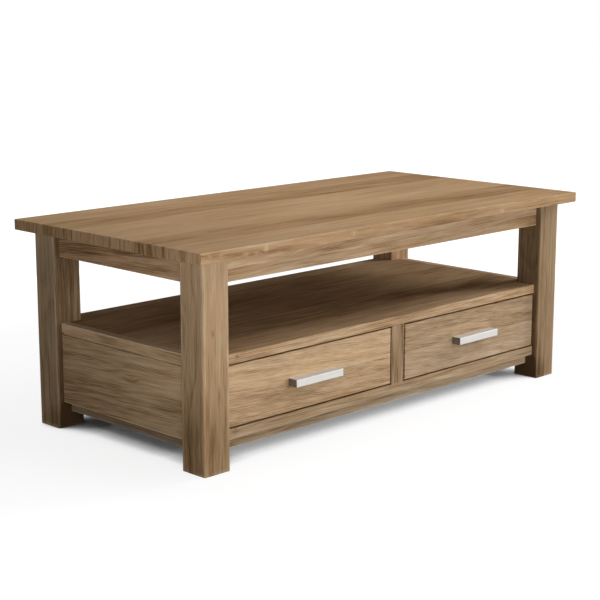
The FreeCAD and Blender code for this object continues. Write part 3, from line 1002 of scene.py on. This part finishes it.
@dataclass
class TableFrame:
    """The top, the four legs, the aprons under the top and the battens that hold it."""

    stave: float = 100 * MM
    # The paler arrises of the top and legs are wear and also a painted highlight.
    top_arris: Span = (2.4 * MM, 0.12)
    leg_arris: Span = (8 * MM, 0.25)
    screw_reach: float = 353 * MM

    def build(self, steel: bpy.types.Material) -> None:
        """Fit the screws that hold the top: two along each long batten and one in each short one.

        Args:
            steel: Their finish.
        """
        node = "top_screws"
        low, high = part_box(node)
        inset = Screw.head_radius
        rows = (low.y + inset, high.y - inset)
        places = [(x, y) for x in (-self.screw_reach, self.screw_reach) for y in rows]
        places += [(low.x + inset, 0.0), (high.x - inset, 0.0)]
        screws = [Screw(Vector((x, y, low.z)), Vector((x, y, high.z))) for x, y in places]
        fit_screws(node, "table_frame", screws, steel)

    def dress(self) -> None:
        """Give every board its finish."""
        self.dress_top()
        self.dress_aprons()
        self.dress_legs()
        for face in ("front", "rear"):
            INNER_TIMBER.dress(Board(f"top_batten_{face}", Cut.EDGE_LENGTHWISE))
        for side in Side:
            INNER_TIMBER.dress(Board(f"top_batten_{side.word}", Cut.EDGE_CROSSWISE))

    def dress_top(self) -> None:
        """Give the top its finish, with knots along its front edge."""
        # Painted shade: the top's front and left faces are darkened, and it darkens towards the right.
        OAK.dress(Board(
            "table_top", Cut.FLAT_LENGTHWISE, self.stave, tint=(1.02, 0.98, 0.94), figure=0.4, bands=1.5,
            edge_figure=0.7, through=0.06, fade=(-0.08, 0.0, 0.0), quartered=True, arris=self.top_arris,
            tones=(0.05, -0.11, 0.1, 0.07, -0.11, 0.06),
            faces=((Face.FRONT, -0.07), (Face.LEFT, -0.08)),
            knots=(
                Knot((-0.563, -0.300, 0.440), 9 * MM, lift=9 * MM, shade=-0.15),
                Knot((-0.470, -0.300, 0.434), 12 * MM, lift=-10 * MM, shade=-0.15),
                Knot((-0.431, -0.300, 0.440), 9 * MM, lift=4 * MM, shade=0.35, stretch=1.2),
                Knot((-0.183, -0.300, 0.441), 9 * MM, lift=9 * MM, shade=0.3, stretch=1.5),
                Knot((0.310, -0.300, 0.435), 9 * MM, lift=7 * MM, shade=0.25, stretch=1.5),
            ),
        ))

    def dress_aprons(self) -> None:
        """Give the aprons their finish."""
        # Painted shade: the aprons darken towards their upper edge under the top, and along their length.
        OAK.dress(Board(
            "apron_front", Cut.EDGE_LENGTHWISE, tint=(1.05, 1.03, 1.03), bands=1.6, lean=-0.03,
            fade=(-0.15, -2.0, 0.0),
            knots=(
                Knot((-0.324, -0.255, 0.418)),
                stain((-0.120, -0.255, 0.395), 80 * MM, shade=0.16, stretch=2.0),
            ),
        ))
        OAK.dress(Board("apron_rear", Cut.EDGE_LENGTHWISE))
        OAK.dress(Board(
            "apron_left", Cut.EDGE_CROSSWISE, tint=(1.0, 0.95, 0.95), lean=0.05, figure=1.2, bands=1.1,
            fade=(-0.9, -2.0, 0.0),
            knots=(Knot((-0.555, 0.0, 0.414), stretch=3.5),),
        ))
        OAK.dress(Board("apron_right", Cut.EDGE_CROSSWISE))

    def dress_legs(self) -> None:
        """Give the legs their finish, with painted shade at the feet of three of them."""
        # Painted light and shade: the legs darken towards the floor, inner faces are darkened, and dark
        # patches sit at the feet.
        OAK.dress(Board(
            "leg_front_left", Cut.UPRIGHT, through=1.0, tint=(0.90, 0.87, 0.83), figure=0.85, bands=0.6,
            fade=(0.75, 0.0, 0.0), arris=self.leg_arris, draw=2,
            faces=((Face.LEFT, -0.08),),
            knots=(
                stain((-0.570, -0.237, 0.07), 130 * MM, shade=-0.2),
                Knot((-0.531, -0.270, 0.155), 6 * MM, lift=3 * MM, shade=-0.2, stretch=6.0),
                Knot((-0.545, -0.270, 0.284), 6 * MM, lift=4 * MM, shade=-0.3, stretch=2.0),
            ),
        ))
        OAK.dress(Board(
            "leg_front_right", Cut.UPRIGHT, through=1.0, tint=(0.76, 0.77, 0.78), figure=0.78, bands=0.6,
            fade=(0.3, 3.0, 0.0), arris=self.leg_arris,
            faces=((Face.LEFT, -0.14),),
            knots=(stain((0.503, -0.237, 0.015), 60 * MM, shade=-0.75),),
        ))
        OAK.dress(Board(
            "leg_rear_left", Cut.UPRIGHT, through=1.0, tint=(0.82, 0.83, 0.86), figure=0.95, bands=0.7,
            fade=(0.4, 0.0, 0.0), arris=self.leg_arris,
            faces=((Face.FRONT, -0.4), (Face.LEFT, -0.05)),
            knots=(stain((-0.530, 0.203, 0.015), 65 * MM, shade=-0.75),),
        ))
        OAK.dress(Board(
            "leg_rear_right", Cut.UPRIGHT, through=1.0, tint=(1.10, 1.05, 1.07),
            faces=((Face.LEFT, -0.32),),
        ))


@dataclass
class DrawerCase:
    """The shelf board, the panels, rails and post of the drawer case, and what the drawers run on."""

    stave: float = 85 * MM
    # The shelf's darker arrises are painted shade at the gap above the drawers.
    shelf_arris: Span = (2.2 * MM, -0.05)
    plain_arris: Span = (2.2 * MM, 0.0)
    panel_knot: Point = (0.555, -0.031, 0.148)

    def dress(self) -> None:
        """Give every board its finish."""
        self.dress_shelf()
        self.dress_front()
        for side in Side:
            self.dress_end(side)
        INNER_TIMBER.dress(Board("case_bottom", Cut.FLAT_LENGTHWISE, self.stave))
        INNER_TIMBER.dress(Board("partition", Cut.EDGE_CROSSWISE))
        INNER_TIMBER.dress(Board("drawer_stops", Cut.FLAT_LENGTHWISE))

    def dress_shelf(self) -> None:
        """Give the shelf board its finish, with a knot on its front edge.

        Its tint, stave tones, faces, slope and soft patches are painted light and painted shade: paler at the
        left end, a painted shadow of the front right leg, and darker further under the top.
        """
        OAK.dress(Board(
            "shelf_board", Cut.FLAT_LENGTHWISE, self.stave, tint=(1.15, 1.14, 1.14), through=0.1, figure=0.72,
            edge_figure=0.6, fade=(0.08, 0.0, 0.0), arris=self.shelf_arris,
            tones=(0.03, -0.16, -0.05, -0.06, -0.06, -0.05),
            faces=((Face.FRONT, 0.05), (Face.UP, -0.09)),
            knots=(
                Knot((-0.469, -0.255, 0.224), 7 * MM, lift=5 * MM, shade=-0.3, stretch=1.3),
                stain((-0.500, -0.110, 0.231), 130 * MM, shade=0.12),
                stain((-0.450, -0.025, 0.231), 130 * MM, shade=0.15, stretch=1.8),
                stain((-0.560, -0.130, 0.231), 260 * MM, shade=0.3, stretch=0.42),
                stain((0.430, -0.160, 0.231), 100 * MM, shade=-0.17, stretch=1.5),
                stain((0.400, -0.255, 0.221), 60 * MM, shade=-0.14, stretch=2.5),
                stain((0.150, 0.150, 0.231), 120 * MM, shade=-0.16, stretch=1.6),
            ),
        ))

    def dress_front(self) -> None:
        """Give the rail, the post, the rear panel and the long plinth rails their finish."""
        OAK.dress(Board(
            "front_rail", Cut.EDGE_LENGTHWISE, tint=(0.93, 0.95, 0.97), figure=1.1, bands=0.85,
            dark_edges=True, arris=self.plain_arris, fade=(0.2, 0.0, 0.0),
            knots=(Knot((-0.475, -0.255, 0.072), 8 * MM, lift=5 * MM, shade=-0.35),),
        ))
        # Painted shade: the post between the drawers is darkened by its tint.
        OAK.dress(Board(
            "divider_post", Cut.UPRIGHT, tint=(0.68, 0.65, 0.62), figure=1.9, dark_edges=True,
            arris=self.plain_arris,
        ))
        OAK.dress(Board("rear_panel", Cut.EDGE_LENGTHWISE))
        # Painted light: the front plinth is paler and bluer by its tint, and paler towards the right.
        OAK.dress(Board("plinth_front", Cut.EDGE_LENGTHWISE, tint=(1.03, 1.12, 1.25), fade=(0.3, 0.0, 0.0)))
        OAK.dress(Board("plinth_rear", Cut.EDGE_LENGTHWISE))

    def dress_end(self, side: Side) -> None:
        """Give the boards at one end of the case their finish.

        Args:
            side: The end of the table.
        """
        x, y, z = self.panel_knot
        # Painted light: the lipping's tint and its paler upper face stand for light from the left.
        OAK.dress(Board(
            f"shelf_lipping_{side.word}", Cut.FLAT_CROSSWISE, tint=(1.25, 1.26, 1.29),
            faces=((Face.UP, 0.27),),
        ))
        # Painted light and shade: the end panel gets paler upwards and darker towards the rear.
        OAK.dress(Board(
            f"end_panel_{side.word}", Cut.EDGE_CROSSWISE, tint=(1.10, 1.11, 1.13), lean=0.06, figure=0.9,
            bands=0.92, fade=(-0.5, 1.2, 0.0),
            knots=(Knot((side.value * x, y, z), shade=-0.25, stretch=3.5),),
        ))
        # Painted shade: the plinth under the panel is darkened by its tint.
        OAK.dress(Board(f"plinth_{side.word}", Cut.EDGE_CROSSWISE, tint=(0.54, 0.57, 0.59)))
        INNER_TIMBER.dress(Board(f"drawer_guide_{side.word}", Cut.EDGE_CROSSWISE))
        for end in ("inner", "outer"):
            INNER_TIMBER.dress(Board(f"runner_{side.word}_{end}", Cut.FLAT_CROSSWISE))


@dataclass
class Drawer:
    """One drawer: its boards, its base and its handle."""

    side: Side
    tint: Colour
    figure: float = 0.83
    # The fronts' darker arrises are painted shade in the gaps round them.
    front_arris: Span = (2.2 * MM, -0.22)
    draw: int = 0

    def name(self, piece: str) -> str:
        """The node of one of the drawer's pieces."""
        return f"drawer_{self.side.word}_{piece}"

    def build(self, steel: bpy.types.Material) -> None:
        """Fit the screws of the base, which point up, and those of the handle, which point forwards.

        Args:
            steel: Their finish.
        """
        body = f"drawer_{self.side.word}"
        inset = Screw.head_radius
        low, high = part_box(self.name("base_screws"))
        middle = (low.y + high.y) / 2
        screws = [Screw(Vector((x, middle, low.z)), Vector((x, middle, high.z)))
                  for x in (low.x + inset, high.x - inset)]
        fit_screws(self.name("base_screws"), body, screws, steel)
        low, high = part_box(self.name("handle_screws"))
        middle = (low.z + high.z) / 2
        screws = [Screw(Vector((x, high.y, middle)), Vector((x, low.y, middle)))
                  for x in (low.x + inset, high.x - inset)]
        fit_screws(self.name("handle_screws"), body, screws, steel)

    def dress(self) -> None:
        """Give every piece its finish."""
        OAK.dress(Board(
            self.name("front"), Cut.EDGE_LENGTHWISE, tint=self.tint, figure=self.figure, bands=0.7, fleck=1.7,
            lean=0.06, dark_edges=True, arris=self.front_arris, draw=self.draw,
        ))
        for end in Side:
            DRAWER_TIMBER.dress(Board(self.name(f"{end.word}_side"), Cut.EDGE_CROSSWISE))
        DRAWER_TIMBER.dress(Board(self.name("back"), Cut.EDGE_LENGTHWISE))
        Plywood().dress(self.name("base"))
        handle = self.name("handle")
        put_on(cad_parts[handle], HANDLE_METAL.material(handle))
        LOG.info("%s in %s", handle, HANDLE_METAL.name)


@dataclass(frozen=True)
class SoftBox:
    """A soft rectangular lamp that is turned to the middle of the table, with its power in watts."""

    name: str
    place: Point
    size: Span
    power: float

    def build(self) -> None:
        """Make the lamp."""
        light = bpy.data.lights.new(self.name, "AREA")
        light.shape = "RECTANGLE"
        light.size, light.size_y = self.size
        light.energy = self.power
        lamp = bpy.data.objects.new(self.name, light)
        lamp.location = self.place
        lamp.visible_camera = False
        middle = (CAD_BOX[0] + CAD_BOX[1]) / 2
        lamp.rotation_euler = (lamp.location - Vector(middle)).to_track_quat("Z", "Y").to_euler()
        bpy.context.scene.collection.objects.link(lamp)


@dataclass
class Studio:
    """The white floor, the light and the camera, with angles in degrees and lens and sensor in millimetres.

    The floor shows by its own glow, which grows by the far glow over the far reach, and it sends little of
    the lamps' light back to the table. The contact values are for a painted shade under the table, where the
    glow is darkened by how little open sky a point sees, and the front values for painted light that lifts
    this shade at the front.
    """

    floor_size: float = 14.0
    floor_grey: float = 0.2
    floor_glow: float = 0.845
    far_glow: float = 0.3
    far_reach: Span = (0.9, 2.4)
    contact_reach: float = 0.09
    contact_samples: int = 16
    contact_step: Span = (0.31, 0.68)
    front_line: Span = (-0.05, -0.255)
    front_light: float = 0.18
    ambient: float = 0.02
    boxes: tuple[SoftBox, ...] = (
        SoftBox("right_box", (2.85, -1.04, 1.42), (0.9, 1.3), 64.0),
        SoftBox("high_front_box", (1.05, -1.50, 2.84), (1.6, 1.6), 16.0),
        SoftBox("low_front_box", (0.20, -2.00, 0.42), (1.4, 0.6), 20.0),
        SoftBox("corner_box", (-1.00, -0.85, 0.42), (0.4, 0.4), 2.3),
        SoftBox("top_box", (0.0, 0.0, 1.62), (0.8, 0.8), 8.0),
        SoftBox("back_box", (0.0, 1.84, 2.84), (1.6, 1.6), 10.0),
        SoftBox("rear_box", (0.0, 1.70, 0.14), (1.4, 0.2), 5.0),
        SoftBox("left_box", (-1.80, -0.1, 0.42), (0.7, 0.6), 4.2),
    )
    camera_place: Point = (-2.4038, -2.3654, 0.9360)
    camera_turn: float = -44.988
    camera_drop: float = 11.835
    lens: float = 90.04
    sensor: float = 36.0

    def build(self) -> None:
        """Make the floor, the surround, the lamps and the camera."""
        self.floor()
        self.world()
        for box in self.boxes:
            box.build()
        self.camera()
        bpy.context.scene.view_settings.view_transform = "Standard"

    def seen(self, graph: Graph) -> Socket:
        """Tell the rays that show the background: straight to the camera, or by way of metal or glass.

        Args:
            graph: The graph of the floor or of the world.

        Returns:
            1 for such a ray, and 0 for one that carries light to the table.
        """
        path = graph.node("LightPath", {})
        shown = graph.math("MAXIMUM", path.outputs["Is Camera Ray"], path.outputs["Is Glossy Ray"])
        return graph.math("MAXIMUM", shown, path.outputs["Is Transmission Ray"])

    def floor(self) -> None:
        """A wide white floor, with the lamps' shadow and a painted contact shade under the table."""
        shape = bmesh.new()
        bmesh.ops.create_grid(shape, x_segments=1, y_segments=1, size=self.floor_size / 2)
        floor = new_piece("floor", shape)
        material = bpy.data.materials.new("floor_white")
        graph = Graph.of_material(material)
        lit = graph.node("BsdfDiffuse", {"Color": opaque((self.floor_grey,) * 3)})
        contact = {"Distance": self.contact_reach}
        # Painted shade: the glow is darkened where the table hides the open sky, and lifted by painted light
        # at the front.
        sky = graph.node("AmbientOcclusion", contact, samples=self.contact_samples).outputs["AO"]
        front = graph.smooth(graph.split(graph.place())[1], *self.front_line)
        sky = graph.math("MULTIPLY_ADD", front, self.front_light, sky)
        far = graph.smooth(graph.length(graph.place()), *self.far_reach)
        bright = graph.math("MULTIPLY_ADD", far, self.far_glow, self.floor_glow)
        glow = graph.times(graph.smooth(sky, *self.contact_step), bright)
        shown = graph.node("Emission", {"Strength": graph.times(self.seen(graph), glow)})
        graph.surface(graph.node("AddShader", {0: lit.outputs[0], 1: shown.outputs[0]}))
        put_on(floor, material)
        LOG.info("%s in %s", floor.name, material.name)

    def world(self) -> None:
        """A white surround, which lights the table softly."""
        world = bpy.data.worlds.new("studio")
        bpy.context.scene.world = world
        world.use_nodes = True
        graph = Graph(world.node_tree)
        levels = graph.node("MapRange", {"Value": self.seen(graph), "To Min": self.ambient})
        white = {"Color": opaque((1.0, 1.0, 1.0)), "Strength": levels.outputs["Result"]}
        graph.node("OutputWorld", {"Surface": graph.node("Background", white).outputs[0]})

    def camera(self) -> None:
        """The camera, a little above the table and off its left front corner."""
        data = bpy.data.cameras.new("camera")
        data.lens = self.lens
        data.sensor_width = self.sensor
        camera = bpy.data.objects.new("camera", data)
        camera.location = self.camera_place
        tilt = math.radians(90 - self.camera_drop)
        camera.rotation_euler = Euler((tilt, 0.0, math.radians(self.camera_turn)))
        bpy.context.scene.collection.objects.link(camera)
        bpy.context.scene.camera = camera


def main() -> None:
    """Dress the table and set the studio around it."""
    logging.basicConfig(level=logging.INFO, format="%(name)s: %(message)s")
    steel = SCREW_STEEL.material()
    table = TableFrame()
    table.build(steel)
    table.dress()
    DrawerCase().dress()
    # The drawer tints hold the colour of the wood and also painted light: the left front is paler.
    drawers = (
        Drawer(Side.LEFT, tint=(1.26, 1.28, 1.31)),
        Drawer(Side.RIGHT, tint=(1.00, 1.04, 1.11), figure=0.98, draw=1),
    )
    for drawer in drawers:
        drawer.build(steel)
        drawer.dress()
    Studio().build()


if __name__ == "__main__":
    main()
